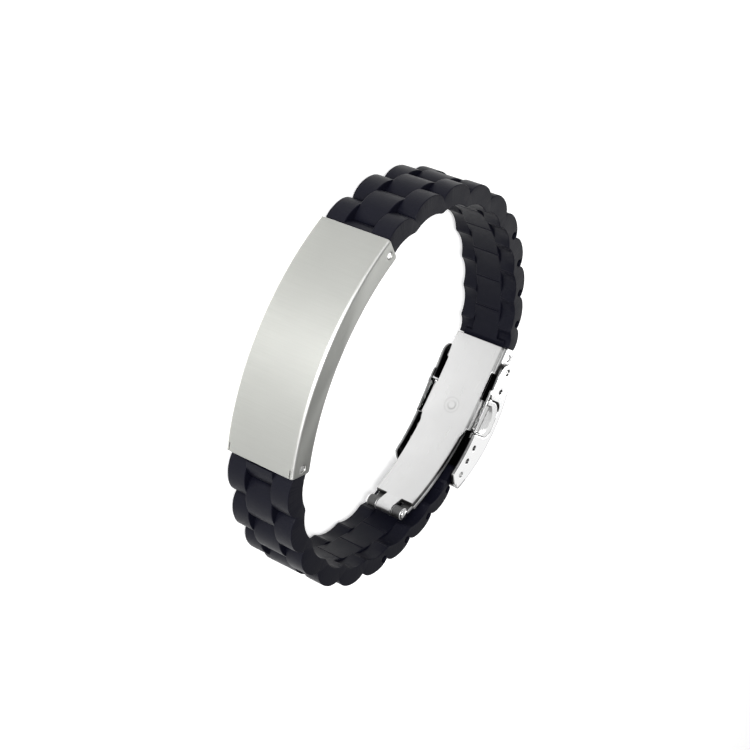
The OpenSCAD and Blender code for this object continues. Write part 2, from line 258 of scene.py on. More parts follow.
def plate_bar_at(end):
    """Plan place of a bar: its angle from the plate's middle, on a radius less its depth below the face."""
    turn, angle = plate_r - plate_bar_deep, end * math.radians(plate_bar_angle)
    return turn * math.sin(angle), plate_r - turn * math.cos(angle)


def plate_bar_hole(end, side):
    """A round hole in a folded side, its points turned into the blank's distances along and across."""
    p = circle(*plate_bar_at(end), 0.6)
    depth = plate_r - np.hypot(p[:, 0], plate_r - p[:, 1])
    along = plate_r * np.arctan2(p[:, 0], plate_r - p[:, 1])
    return np.stack([along, side * side_band(plate_half, plate_fold, depth)], 1)


slit_at, slit_half, slit_in = 5.88, 0.1, plate_end - 1.4
slits = [(x, at + half, 0) for at in (-slit_at, slit_at) for x, half in (
    (plate_end, -slit_half), (slit_in, -slit_half), (slit_in, slit_half), (plate_end, slit_half))]
plate_edge = outline([(-plate_end, -plate_side, 0.6), (plate_end, -plate_side, 0.6), *slits,
                      (plate_end, plate_side, 0.6), (-plate_end, plate_side, 0.6)])
plate_across = both_ways(np.concatenate([
    np.linspace(0, 5.9, 9), 6.05 + plate_fold * np.linspace(0, np.pi / 2, 8), np.linspace(7.1, 10.2, 6)]))
plate = piece("name_plate", [blank(
    plate_edge, [plate_bar_hole(e, s) for e in (-1, 1) for s in (-1, 1)],
    grid(np.linspace(-plate_end + 0.2, plate_end - 0.2, 70), plate_across),
    plate_thick, 0.07, bend_plate)])


def put(tree, kind, settings=None, **sockets):
    """Adds a shader node. Sockets are given by name, or as n0, n1 by number, and take a value or a socket."""
    node = tree.nodes.new("ShaderNode" + kind)
    for key, value in (settings or {}).items():
        setattr(node, key, value)
    for key, value in sockets.items():
        number = key[1:].isdigit() and key[0] == "n"
        socket = node.inputs[int(key[1:])] if number else node.inputs[key.replace("_", " ")]
        if isinstance(value, bpy.types.NodeSocket):
            tree.links.new(value, socket)
        else:
            socket.default_value = value
    return node


def maths(tree, operation, *values, **settings):
    """The result of one maths operation on its values."""
    numbered = {f"n{i}": value for i, value in enumerate(values)}
    return put(tree, "Math", {"operation": operation, **settings}, **numbered).outputs[0]


def blend(tree, share, low, high, **settings):
    """A colour between two, by a share."""
    return put(tree, "Mix", {"data_type": "RGBA", **settings}, n0=share, n6=low, n7=high).outputs[2]


def remap(tree, value, low, high, to_low, to_high, **settings):
    """A value carried from one range to another."""
    return put(tree, "MapRange", settings, n0=value, n1=low, n2=high, n3=to_low, n4=to_high).outputs[0]


def new_material(name):
    """A new material, its node tree, and its surface shader."""
    made = bpy.data.materials.new(name)
    made.use_nodes = True
    return made, made.node_tree, made.node_tree.nodes["Principled BSDF"]


def effect(name, takes, gives):
    """A shader node group with named inputs (name, kind, value) and outputs (name, kind)."""
    group = bpy.data.node_groups.new(name, "ShaderNodeTree")
    for socket, kind, value in takes:
        made = group.interface.new_socket(name=socket, in_out="INPUT", socket_type="NodeSocket" + kind)
        if value is not None:
            made.default_value = value
    for socket, kind in gives:
        group.interface.new_socket(name=socket, in_out="OUTPUT", socket_type="NodeSocket" + kind)
    return group, group.nodes.new("NodeGroupInput"), group.nodes.new("NodeGroupOutput")


# Brushing: short streaks along the strip, from noise drawn out along it, over slow patches of tone
brushing, given, result = effect(
    "brushing", [("Vector", "Vector", None), ("Along", "Float", 90.0),
                 ("Across", "Float", 5200.0), ("Patches", "Float", 140.0)],
    [("Streaks", "Float"), ("Tone", "Float")])
drawn = put(brushing, "CombineXYZ", X=given.outputs["Along"], Y=given.outputs["Across"],
            Z=given.outputs["Across"])
drawn = put(brushing, "VectorMath", {"operation": "MULTIPLY"}, n0=given.outputs["Vector"],
            n1=drawn.outputs[0])
streaks = put(brushing, "TexNoise", Vector=drawn.outputs[0], Scale=1.0, Detail=4.0, Roughness=0.62)
tone = put(brushing, "TexNoise", Vector=given.outputs["Vector"], Scale=given.outputs["Patches"],
           Detail=3.0, Roughness=0.5)
brushing.links.new(streaks.outputs[0], result.inputs["Streaks"])
brushing.links.new(tone.outputs[0], result.inputs["Tone"])


# Cut edges and backs: the cut rims take a colour of their own, broken up by noise, a painted highlight where
# it is bright and painted shade where it is dark, and the back of the sheet, past a depth, is painted dark as
# shade and made rougher
sheet_edges, given, result = effect(
    "sheet_edges",
    [("Color", "Color", None), ("Rim", "Float", 0.0), ("Vector", "Vector", None),
     ("Rim Color", "Color", (0.5, 0.5, 0.5, 1)), ("Back Color", "Color", (0.1, 0.1, 0.1, 1)),
     ("Back From", "Float", 1.0), ("Back To", "Float", 2.0)],
    [("Color", "Color"), ("Dulling", "Float")])
broken = put(sheet_edges, "TexNoise", Vector=given.outputs["Vector"], Scale=900.0, Detail=2.0)
broken = remap(sheet_edges, broken.outputs[0], 0.3, 0.6, 0.8, 1.0)
broken = maths(sheet_edges, "MULTIPLY", broken, given.outputs["Rim"])
rim_painted = blend(sheet_edges, broken, given.outputs["Color"], given.outputs["Rim Color"])
deep = put(sheet_edges, "SeparateXYZ", n0=given.outputs["Vector"])
deep = remap(sheet_edges, deep.outputs[2], given.outputs["Back From"], given.outputs["Back To"], 0.0, 1.0)
backed = blend(sheet_edges, deep, rim_painted, given.outputs["Back Color"])
sheet_edges.links.new(backed, result.inputs["Color"])
sheet_edges.links.new(deep, result.inputs["Dulling"])


# Painted fold light: a soft band along each fold or folded side, or along one of them, a painted highlight
# where it is bright and painted shade where it is dark
painted_fold_light, given, result = effect(
    "painted_fold_light",
    [("Color", "Color", None), ("Vector", "Vector", None), ("One Side", "Float", 0.0),
     ("Fold", "Float", 0.005), ("Width", "Float", 0.0005), ("Fold Color", "Color", (0.9, 0.9, 0.9, 1)),
     ("Amount", "Float", 0.5)],
    [("Color", "Color")])
sideways = put(painted_fold_light, "SeparateXYZ", n0=given.outputs["Vector"]).outputs[1]
both = maths(painted_fold_light, "ABSOLUTE", sideways)
other = maths(painted_fold_light, "SUBTRACT", sideways, both)
sideways = maths(painted_fold_light, "MULTIPLY_ADD", other, given.outputs["One Side"], both)
sideways = maths(painted_fold_light, "SUBTRACT", sideways, given.outputs["Fold"])
sideways = maths(painted_fold_light, "ABSOLUTE", sideways)
near_fold = remap(painted_fold_light, sideways, 0.0, given.outputs["Width"], given.outputs["Amount"], 0.0,
                  interpolation_type="SMOOTHSTEP")
folds = blend(painted_fold_light, near_fold, given.outputs["Color"], given.outputs["Fold Color"])
painted_fold_light.links.new(folds, result.inputs["Color"])


def steel(name, dark, light, rough, along, across, bump, rim, back=(0.1, 0.1, 0.1), back_from=1.0,
          back_to=2.0, fold=(20.0, 1.0), fold_colour=(0.9, 0.9, 0.9), fold_amount=0.0,
          patches=(0.96, 1.02), one_side=0.0, skirt=(20.0, 1.0, 1.0)):
    """Steel: brushed streaks move the colour, roughness and height. The cut rims have their own colour, a
    painted highlight where it is bright and painted shade where it is dark. The folds have another at a
    distance and width, on one side or both, painted the same way, and so have the bright skirts below them, a
    painted highlight. The back of the sheet has another between two depths, painted shade. Places are in
    millimetres."""
    made, tree, shader = new_material(name)
    own = put(tree, "Attribute", {"attribute_name": "blank"}).outputs["Vector"]
    grain = put(tree, "Group", {"node_tree": brushing}, Vector=own, Along=along, Across=across)
    mixed = blend(tree, grain.outputs["Streaks"], (*dark, 1), (*light, 1))
    patch = remap(tree, grain.outputs["Tone"], 0.3, 0.7, *patches)
    toned = blend(tree, 1.0, mixed, patch, blend_type="MULTIPLY")
    cut = put(tree, "Attribute", {"attribute_name": "rim"})
    # Painted highlight on the skirts, then painted highlight or painted shade along the folds
    skirt_painted = put(tree, "Group", {"node_tree": painted_fold_light}, Color=toned, Vector=own, Fold=skirt[0] * 0.001,
                Width=skirt[1] * 0.001, Fold_Color=(0.97, 0.97, 0.97, 1), Amount=skirt[2])
    fold_painted = put(tree, "Group", {"node_tree": painted_fold_light}, Color=skirt_painted.outputs["Color"], Vector=own,
               One_Side=one_side, Fold=fold[0] * 0.001, Width=fold[1] * 0.001,
               Fold_Color=(*fold_colour, 1), Amount=fold_amount)
    edged = put(tree, "Group", {"node_tree": sheet_edges}, Color=fold_painted.outputs["Color"],
                Rim=cut.outputs["Fac"], Vector=own, Rim_Color=(*rim, 1), Back_Color=(*back, 1),
                Back_From=back_from * 0.001, Back_To=back_to * 0.001)
    tree.links.new(edged.outputs["Color"], shader.inputs["Base Color"])
    dull = remap(tree, grain.outputs["Streaks"], 0.25, 0.75, *rough)
    dull = maths(tree, "MULTIPLY_ADD", edged.outputs["Dulling"], 0.3, dull, use_clamp=True)
    tree.links.new(dull, shader.inputs["Roughness"])
    raised = put(tree, "Bump", Strength=bump, Distance=0.00002, Height=grain.outputs["Streaks"])
    tree.links.new(raised.outputs[0], shader.inputs["Normal"])
    shader.inputs["Metallic"].default_value = 1.0
    return made


# The plate's rounded rims are painted bright as a highlight, a near-white band along each fold is a painted
# highlight, and its back is painted darker as shade
plate_steel = steel(
    "plate_steel", dark=(0.299, 0.302, 0.286), light=(0.341, 0.345, 0.327), rough=(0.34, 0.42), along=5200.0,
    across=110.0, bump=0.08, rim=(0.7, 0.7, 0.68), back=(0.35, 0.35, 0.34), back_from=0.4, back_to=0.65,
    fold=(6.45, 0.4), fold_colour=(0.9, 0.9, 0.88), fold_amount=0.8, patches=(0.985, 1.01))
plate_shader = plate_steel.node_tree.nodes["Principled BSDF"]
plate_shader.inputs["Anisotropic"].default_value = 0.6
plate_shader.inputs["Anisotropic Rotation"].default_value = 0.25
plate.data.materials.append(plate_steel)
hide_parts("id_plate")
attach(plate, "bracelet")

# ---------------------------------------------------------------- Plate bars
# Two stepped steel bars, sprung in the real bracelet, that pin the strap's tongues inside the plate.
# They are turned from rod, and their thin tips show in the holes of the folded sides.


def turned_rod(x, y, profile, steps=40):
    """A rod turned about a line across the strap: each (radius, z) of its profile goes round in steps."""
    radius, z = np.array(profile, float).T
    a = np.linspace(0, 2 * np.pi, steps, endpoint=False)
    px = x + radius[:, None] * np.cos(a)
    py = y + radius[:, None] * np.sin(a)
    pz = np.broadcast_to(z[:, None], px.shape)
    at = np.arange(px.size).reshape(px.shape)
    ahead = np.roll(at, -1, 1)
    faces = np.stack([at[:-1], at[1:], ahead[1:], ahead[:-1]], -1).reshape(-1, 4)
    own = np.stack([pz, np.broadcast_to(a, px.shape) * radius[:, None], 0 * pz], -1) * 0.001
    return in_frame(px, py, pz).reshape(-1, 3), faces.tolist(), own.reshape(-1, 3), np.zeros(px.size)


def both_ends(right):
    """A rod's profile from its right half, which starts in the middle."""
    return [(r, -z) for r, z in right[:0:-1]] + right


def stepped(body, body_half, tip, tip_half, soft=0.12):
    """Profile of a stepped bar: tip, shoulder, body, shoulder, tip. Its chamfers are finer at the tips."""
    return both_ends([
        (body, 0), (body, body_half - soft), (body - soft, body_half), (tip, body_half),
        (tip, tip_half - soft / 3), (tip - soft / 3, tip_half), (0, tip_half)])


bar_steel = steel(
    "bar_steel", dark=(0.55, 0.55, 0.54), light=(0.7, 0.7, 0.69), rough=(0.2, 0.3), along=4000.0,
    across=300.0, bump=0.08, rim=(0.8, 0.8, 0.8))
for end, node in ((-1, "plate_bar_left"), (1, "plate_bar_right")):
    bar = piece(node + "_turned", [turned_rod(*plate_bar_at(end), stepped(0.7, 5.6, 0.5, 6.4))], sheet=False)
    bar.data.materials.append(bar_steel)
    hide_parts(node)
    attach(bar, "bracelet")

# ---------------------------------------------------------------- Strap halves
# Two mouldings of black silicone. Each has three rows of rounded lugs, the middle row half a link
# out of step, shallow hollows with fine grooves towards the wrist, and a tongue at either end for a bar.
# The last four valleys have cross holes for shortening the strap.

band_r = plate_r - 3.1
route_start = (band_r * math.sin(math.radians(plate_angle)),
               plate_r - band_r * math.cos(math.radians(plate_angle)), plate_angle)
middle_row = 2.6
row_wide = 3.4
taper_top, taper_slope = 6.0865, 0.014423
plate_tongue_half = 5.55
left_arcs, right_arcs = [(23.8, 22.9), (27.6, 68.45), (32.7, 48)], [(25.7, 63.7), (18, 14.7), (32.5, 62)]
left_bar_s, right_bar_s = 66.85, 64.85


def path(start, arcs, step=0.05):
    """Table of distance, x, y and heading along arcs (radius, sweep) that run on from one another: the
    heading grows evenly, and the place moves by the radius times the change of its sine and cosine."""
    s0, x0, y0, h0 = 0.0, start[0], start[1], math.radians(start[2])
    rows = [np.array([[s0, x0, y0, h0]])]
    for radius, sweep in arcs:
        a = np.linspace(0, math.radians(sweep), 2 + int(radius * math.radians(sweep) / step))[1:]
        h = h0 + a
        rows.append(np.stack([s0 + radius * a, x0 + radius * (np.sin(h) - math.sin(h0)),
                              y0 - radius * (np.cos(h) - math.cos(h0)), h], 1))
        s0, x0, y0, h0 = rows[-1][-1]
    return np.concatenate(rows)


def beside(table, s, out):
    """Points at distances along a path and offsets away from the wrist."""
    x, y, h = (np.interp(s, table[:, 0], table[:, k]) for k in (1, 2, 3))
    return np.stack([x + out * np.sin(h), y - out * np.cos(h)], -1)


def valley_s(first, k):
    """Distance of valley k: even links, each 0.2 shorter than the one before it."""
    return first + 7.8 * k - 0.1 * k * (k + 1)


def row_edge(table, first, staggered, s0, s1):
    """Outline of one row of links. Outside, each link swells by its rise times (1 - |u|^2.2)^0.7, where u
    goes from -1 to 1 along it. Inside it is hollowed by a parabola, less in the middle row, with a fine
    groove on each ridge."""
    k = np.arange(-2, 12)
    valley = valley_s(first, k)
    if staggered:
        valley = (valley[:-1] + valley[1:]) / 2
        k = k[1:]
    valley = np.minimum(valley, s1)
    t = np.linspace(-1, 1, 49)
    u = np.sign(t) * (1 - (1 - np.abs(t)) ** 1.7)
    a, b = valley[:-1, None], valley[1:, None]
    s = (a + b) / 2 + u * (b - a) / 2
    rise = 1.95 - 0.09 * np.maximum(0, k[:-1, None] + 1)
    outer = 1 + rise * np.maximum(0, 1 - np.abs(u) ** 2.2) ** 0.7
    groove = (0.2 if staggered else 0.12) * np.exp(-(((1 - np.abs(u)) * (b - a) / 2) / 0.1) ** 2)
    inner = -1 + (0.2 if staggered else 0.7) * (0.6 - u * u) + groove
    use = (s > s0 + 0.01) & (s < s1 - 0.01)
    s, outer, inner = s[use], outer[use], inner[use]
    order = np.argsort(s, kind="stable")
    s, outer, inner = s[order], outer[order], inner[order]
    new = np.concatenate([[True], np.diff(s) > 0.004])
    s, outer, inner = s[new], outer[new], inner[new]
    ends = [beside(table, np.array([e, e]), np.array([1.0, -1.0])) for e in (s0, s1)]
    return np.concatenate([ends[0][:1], beside(table, s, outer), ends[1], beside(table, s, inner)[::-1],
                           ends[0][1:]])


def trimmed(loop, limit):
    """The part of a loop beyond a limit in x, closed by the two crossing points."""
    keep = loop[:, 0] >= limit
    if keep.all():
        return loop
    first = np.flatnonzero(keep & ~np.roll(keep, 1))[0]
    loop, keep = np.roll(loop, -first, 0), np.roll(keep, -first)
    n = int(np.argmin(keep))
    cut = ((loop[n - 1], loop[n]), (loop[-1], loop[0]))
    cross = [p + (q - p) * (limit - p[0]) / (q[0] - p[0]) for p, q in cut]
    return np.concatenate([loop[:n], cross])


def strap_half(mirror, arcs, first, body_end, limit, bar_s, tongue_half, bar_body):
    """The blanks of one strap half: three rows, cut to the taper of the sides, and two tongues."""
    table = path(route_start, arcs)
    holes_at = [beside(table, valley_s(first, k) - 0.95, 0.8) for k in (5, 6, 7, 8)]
    holes = [circle(x, y, 0.65, 28) for x, y in holes_at]

    def row(staggered, low, high):
        """Stands a row up between two heights; high None means out to the tapered side of the strap."""
        def place(x, y, depth):
            """Stretches the row's depth to its heights. The side comes in as y grows, in a straight line."""
            top = high if high is not None else taper_top - taper_slope * y
            z = low + (top - low) * (1 - depth / row_wide)
            return x * mirror, y, z
        loop = trimmed(row_edge(table, first, staggered, 0.2, body_end), limit)
        return blank(loop, holes, no_spread, row_wide, 0.11, place)

    def lower(made):
        """The same row on the other side of the strap, mirrored about the middle, 6.5 mm up."""
        return (made[0] * (1, 1, -1) + (0, 0, 0.013), *made[1:])

    side_row = row(False, middle_row - 0.05, None)
    parts = [row(True, -middle_row, middle_row), side_row, lower(side_row)]
    angle = np.radians([plate_bar_angle - 2.2, plate_angle + 1.2])
    ring = [((plate_r - d) * math.sin(a), plate_r - (plate_r - d) * math.cos(a), 0.4)
            for d, a in ((0.95, angle[0]), (3.85, angle[0]), (3.85, angle[1]), (0.95, angle[1]))]
    parts.append(blank(outline(ring, 0.3), [circle(*plate_bar_at(1), 0.75)], no_spread, 2 * plate_tongue_half,
                       0.2, lambda x, y, d: (x * mirror, y, plate_tongue_half - d)))
    s = np.linspace(body_end - 2, bar_s, 12)
    bar = beside(table, bar_s, 0.0)
    heading = np.interp(bar_s, table[:, 0], table[:, 3])
    a = heading - np.pi / 2 + np.linspace(0, np.pi, 16)[1:-1]
    tip = bar + around(a)
    tongue = np.concatenate([beside(table, s, 1.0), tip, beside(table, s, -1.0)[::-1]])
    parts.append(blank(tongue, [circle(*bar, bar_body + 0.05)], no_spread, 2 * tongue_half, 0.2,
                       lambda x, y, d: (x * mirror, y, tongue_half - d)))
    return parts


def silicone_finish():
    """Silicone: near-black, with a fine moulded grain and pits in the height, slow patches in the tone and
    the sheen, and a little pale dust caught in the grain."""
    made, tree, shader = new_material("black_silicone")
    place = put(tree, "TexCoord").outputs["Object"]
    fine = put(tree, "TexNoise", Vector=place, Scale=5200.0, Detail=3.0, Roughness=0.6)
    pits = put(tree, "TexVoronoi", Vector=place, Scale=3600.0)
    patches = put(tree, "TexNoise", Vector=place, Scale=160.0, Detail=4.0, Roughness=0.55)
    dust = remap(tree, fine.outputs[0], 0.56, 0.8, 0.0, 0.35)
    colour = blend(tree, patches.outputs[0], (0.0020, 0.0021, 0.0050, 1), (0.0036, 0.0038, 0.0076, 1))
    dusted = blend(tree, dust, colour, (0.013, 0.013, 0.016, 1))
    tree.links.new(dusted, shader.inputs["Base Color"])
    sheen = remap(tree, patches.outputs[0], 0.3, 0.7, 0.4, 0.5)
    tree.links.new(sheen, shader.inputs["Roughness"])
    height = maths(tree, "ADD", fine.outputs[0], pits.outputs[0])
    raised = put(tree, "Bump", Strength=0.25, Distance=0.00003, Height=height)
    tree.links.new(raised.outputs[0], shader.inputs["Normal"])
    shader.inputs["Specular IOR Level"].default_value = 0.085
    return made


silicone = silicone_finish()
for node, half in (
        ("strap_left", dict(mirror=-1, arcs=left_arcs, first=6.2, body_end=65.7, limit=12.8,
                            bar_s=left_bar_s, tongue_half=4.25, bar_body=0.6)),
        ("strap_right", dict(mirror=1, arcs=right_arcs, first=7.4, body_end=62.4, limit=12,
                             bar_s=right_bar_s, tongue_half=5.0, bar_body=0.65))):
    strap = piece(node + "_moulding", strap_half(**half), crease=50)
    strap.data.materials.append(silicone)
    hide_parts(node)
    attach(strap, "bracelet")

# ---------------------------------------------------------------- Inner blade
# The clasp's blade that lies on the wrist, pressed from steel sheet. Its folded sides have notches,
# a dimple is stamped in its middle, and a centre tongue at one end is rolled round the fold's pin.

blade_thick = 0.8
blade_start = (18.7, 48.75, 143.3)
blade_path = path(blade_start, [(37, 31.2), (300, 2.43)], 0.05)
blade_long = blade_path[-1, 0]
barrel_r = 1.1
pin_bore = 0.53
fold_h = math.radians(blade_start[2])
fold_back, fold_out = 2.5, 0.42
fold_at = (blade_start[0] - fold_back * math.cos(fold_h) + fold_out * math.sin(fold_h),
           blade_start[1] - fold_back * math.sin(fold_h) - fold_out * math.cos(fold_h))
dimple_x = 0.3
notch_from, notch_to, notch_half = -7.6, -2.6, 4.6
tall_side, short_side = 3.9, 1.9


def blade_s(x):
    """Distance along the blade of a place x in plan, read backwards from the path."""
    return np.interp(-np.asarray(x, float), -blade_path[:, 1], blade_path[:, 0])


def rolled_path(offset, inwards, start_s, sweep, soft=0.25):
    """Table of distance, x, y and the direction into the sheet. From the start it follows a blade's face
    at an offset; before it, at negative distances, it runs straight to the barrel on its touching line
    and turns round it. The corner between the two is softened by averaging."""
    near = blade_path[blade_path[:, 0] >= start_s]
    out = np.stack([np.sin(near[:, 3]), -np.cos(near[:, 3])], 1)
    face = near[:, 1:3] + out * offset
    ahead = np.array([-math.cos(fold_h), -math.sin(fold_h)])
    outward = np.array([math.sin(fold_h), -math.cos(fold_h)])
    into = outward * (1 if inwards else -1)
    to_centre = np.array(fold_at) - face[0]
    e, m = to_centre @ ahead, to_centre @ into
    reach = math.hypot(e, m)
    slope = math.atan2(m, e) - math.asin(barrel_r / reach)
    straight = math.sqrt(reach ** 2 - barrel_r ** 2)
    t = np.arange(0.02, straight, 0.02)
    line = np.stack([t * math.cos(slope), t * math.sin(slope)], 1)
    line_in = np.tile([-math.sin(slope), math.cos(slope)], (len(t), 1))
    a = np.arange(0, math.radians(sweep), 0.02 / barrel_r)
    turn = slope - np.pi / 2 + a
    wrap = np.array([e, m]) + barrel_r * around(turn)
    local = np.concatenate([line, wrap])
    local_in = np.concatenate([line_in, -around(turn)])
    basis = np.stack([ahead, into])
    tongue = face[0] + local @ basis
    tongue_in = local_in @ basis
    s = np.concatenate([-(straight + barrel_r * a)[::-1], -t[::-1], near[:, 0] - start_s])
    xy = np.concatenate([tongue[::-1], face])
    side = np.concatenate([tongue_in[::-1], out * (1 if inwards else -1)])
    even = np.arange(s[0], s[-1], 0.02)
    table = np.stack([even] + [np.interp(even, s, c) for c in (*xy.T, *side.T)], 1)
    width = int(soft / 0.02)
    kernel = np.hanning(2 * width + 3)[1:-1]
    kernel /= kernel.sum()
    padded = [np.pad(c, width, mode="edge") for c in table[:, 1:].T]
    smooth = np.stack([np.convolve(c, kernel, "valid") for c in padded], 1)
    near_corner = np.exp(-(even / (2 * soft)) ** 2)[:, None]
    table[:, 1:] = table[:, 1:] * (1 - near_corner) + smooth * near_corner
    return table, straight


def on_blade(table, half, fold, straight, thin, press=None):
    """Places a blade's blank on its path. Depth goes into the sheet, thinned where it is rolled."""
    def place(along, across, depth):
        """The path's point at the distance along, moved into the sheet by the folded section's depth."""
        z, deep = folded(across, depth, half, fold)
        rolled = np.clip((-along - 0.2) / max(straight - 0.2, 0.1), 0, 1)
        deep = deep * (1 - rolled * (1 - thin))
        if press is not None:
            deep = deep + press(along, across) * (1 - depth / blade_thick)
        x, y, nx, ny = (np.interp(along, table[:, 0], table[:, k]) for k in (1, 2, 3, 4))
        return x + nx * deep, y + ny * deep, z
    return place


blade_half, blade_fold = 5.3, 0.85
inner_table, inner_straight = rolled_path(offset=0.0, inwards=True, start_s=0.0, sweep=292)
tongue_end = inner_table[0, 0] + 0.03


def blade_band(depth):
    """The side band of the inner blade's own section."""
    return side_band(blade_half, blade_fold, depth)


def dimple(along, across):
    """A stamped hollow: a shallow dish that eases to nothing at its ring, and a small round step in it."""
    far = np.hypot(along - blade_s(dimple_x), across)
    dish = np.clip((1.45 - far) / 0.35, 0, 1)
    step = np.clip((0.8 - far) / 0.25, 0, 1)
    return 0.03 * dish * dish * (3 - 2 * dish) + 0.045 * step * step * (3 - 2 * step)


def mirrored(upper):
    """Outline of a blank that is alike on both sides: the corners, and their mirror images in turn back."""
    return outline(upper + [(a, -b, r) for a, b, r in upper[::-1]])


tall, short = blade_band(tall_side), blade_band(short_side)
blade_edge = mirrored([
    (blade_long, tall, 0.3), (blade_s(-10.25), tall, 0.4), (blade_s(-10.1), short, 0.25),
    (blade_s(notch_from), short, 0.3), (blade_s(notch_from), notch_half, 0.25),
    (blade_s(notch_to), notch_half, 0.25), (blade_s(notch_to), short, 0.3), (blade_s(2.9), short, 0.35),
    (blade_s(3.45), 4.72, 0.3), (blade_s(4.9), 4.3, 0.5), (0, 3.9, 0.15), (0, 1.6, 0.12),
    (tongue_end, 1.55, 0.1)])
bar_left = beside(path(route_start, left_arcs), left_bar_s, 0.0) * (-1, 1)


def on_blade_side(x, y, radius, side):
    """A round hole in the inner blade's folded side, in the blank's own distances."""
    p = circle(x, y, radius)
    gap = ((p[:, None] - blade_path[None, :, 1:3]) ** 2).sum(2)
    i = gap.argmin(1)
    depth = np.sqrt(gap.min(1))
    return np.stack([blade_path[i, 0], side * blade_band(depth)], 1)


dimple_s = float(blade_s(dimple_x))
dimple_rings = np.concatenate([circle(dimple_s, 0, r, 48) for r in np.arange(0.15, 1.9, 0.11)])
blade_across = both_ways(np.concatenate([
    np.linspace(0, 4.4, 8), 4.45 + blade_fold * np.linspace(0, np.pi / 2, 9), np.linspace(6.0, 8.7, 8)]))
blade_lines = np.concatenate([np.arange(tongue_end + 0.1, 0.6, 0.16), np.arange(0.8, blade_long - 0.2, 0.5)])
blade_spread = grid(blade_lines, blade_across)
blade_spread = blade_spread[np.hypot(blade_spread[:, 0] - dimple_s, blade_spread[:, 1]) > 1.95]
rolled_thin = (barrel_r - pin_bore) / blade_thick
blade_parts = blank(
    blade_edge, [on_blade_side(*bar_left, 0.6, side) for side in (-1, 1)],
    np.concatenate([blade_spread, dimple_rings]), blade_thick, 0.09,
    on_blade(inner_table, blade_half, blade_fold, inner_straight, rolled_thin, dimple), clear=0.08)
# The dimple's two faint rings are painted shade, the inner one a darker crescent on one side
dimple_shade_along, dimple_shade_across = blade_parts[2][:, 0] * 1000 - dimple_s, blade_parts[2][:, 1] * 1000
dimple_shade_far = np.hypot(dimple_shade_along, dimple_shade_across)
dimple_shade_side = 0.55 + 0.45 * (0.8 * dimple_shade_across - 0.6 * dimple_shade_along) / np.maximum(dimple_shade_far, 0.01)
dimple_shade = (0.17 * np.exp(-((dimple_shade_far - 1.4) / 0.13) ** 2)
         + 0.5 * dimple_shade_side * np.exp(-((dimple_shade_far - 0.75) / 0.15) ** 2))
blade_parts[3][:] = np.maximum(blade_parts[3], dimple_shade * (blade_parts[2][:, 2] < 0.0001))
inner_blade = piece("wrist_blade", [blade_parts])
# The blade's cut rims and dimple rings are painted dark as shade, its back near black as shade, the fold on
# one side near black as shade, and its folded sides white as a painted highlight
blade_steel = steel(
    "blade_steel", dark=(0.505, 0.505, 0.503), light=(0.535, 0.535, 0.533), rough=(0.26, 0.33), along=110.0,
    across=4200.0, bump=0.035, rim=(0.1, 0.1, 0.1), back=(0.03, 0.03, 0.03), back_from=0.3, back_to=0.6,
    fold=(4.85, 0.55), fold_colour=(0.035, 0.035, 0.035), fold_amount=0.97, one_side=1.0,
    skirt=(6.9, 1.7, 4.0))
inner_blade.data.materials.append(blade_steel)
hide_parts("inner_blade")
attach(inner_blade, "bracelet")

# ---------------------------------------------------------------- Middle blade
# The second pressed blade, between the inner one and the cover. Two tongues are rolled round the same
# pin on either side of the centre one, and two small ears at its other end take the cover's hinge pin.

middle_half = 4.1
no_fold = 50.0
middle_table, middle_straight = rolled_path(offset=1.8, inwards=False, start_s=0.2, sweep=285)
middle_roll_end = middle_table[0, 0] + 0.03
middle_end = float(blade_s(-9.6)) - 0.2
pin_place = (-8.7, 59.25)
middle_edge = mirrored([
    (middle_end, middle_half, 0.4), (float(blade_s(3)) - 0.2, middle_half, 0.5), (0, 3.85, 0.1),
    (0, 3.5, 0.05), (middle_roll_end, 3.5, 0.1), (middle_roll_end, 1.7, 0.1), (0, 1.7, 0.15)])
middle_lines = np.concatenate([np.arange(middle_roll_end + 0.1, 0.4, 0.16), np.arange(0.6, middle_end, 0.8)])
ear_half, ear_from, ear_to = 0.85, 57.85, 60.1
ear = outline([(pin_place[0] - ear_half, ear_from, 0), (pin_place[0] + ear_half, ear_from, 0),
               (pin_place[0] + ear_half, ear_to, 0.84), (pin_place[0] - ear_half, ear_to, 0.84)])
ears = [blank(ear, [circle(*pin_place, 0.55)], no_spread, 0.65, 0.06,
              lambda x, y, d, top=top: (x, y, top - d)) for top in (4.1, -3.45)]
middle_blade = piece("second_blade", ears + [blank(
    middle_edge, [], grid(middle_lines, both_ways(np.linspace(0, 4.0, 9))), blade_thick, 0.08,
    on_blade(middle_table, no_fold, 1.0, middle_straight, rolled_thin))])
# The middle blade's steel is painted near black as shade between the blades, and its rounded rims bright as a
# painted highlight
shade_painted_steel = steel(
    "shade_painted_steel", dark=(0.07, 0.07, 0.07), light=(0.12, 0.12, 0.12), rough=(0.4, 0.5), along=110.0,
    across=4200.0, bump=0.07, rim=(0.8, 0.8, 0.8))
middle_blade.data.materials.append(shade_painted_steel)
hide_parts("middle_blade")
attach(middle_blade, "bracelet")

# ---------------------------------------------------------------- Fold pin
# The hinge pin of the two blades: a turned rod with a flat round head pressed on at either end.

headed = both_ends([
    (0.5, 0), (0.5, 3.55), (0.83, 3.55), (0.87, 3.59), (0.87, 3.8), (0.84, 3.86), (0.77, 3.9), (0, 3.9)])
fold_pin = piece("headed_pin", [turned_rod(*fold_at, headed, 48)], sheet=False)
polish = dict(rough=(0.1, 0.17), along=500.0, across=3000.0, bump=0.03)
bright = dict(dark=(0.8, 0.8, 0.795), light=(0.88, 0.88, 0.88), **polish)
bright_steel = steel("bright_steel", rim=(0.92, 0.92, 0.92), **bright)
fold_pin.data.materials.append(bright_steel)
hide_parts("fold_pin")
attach(fold_pin, "bracelet")

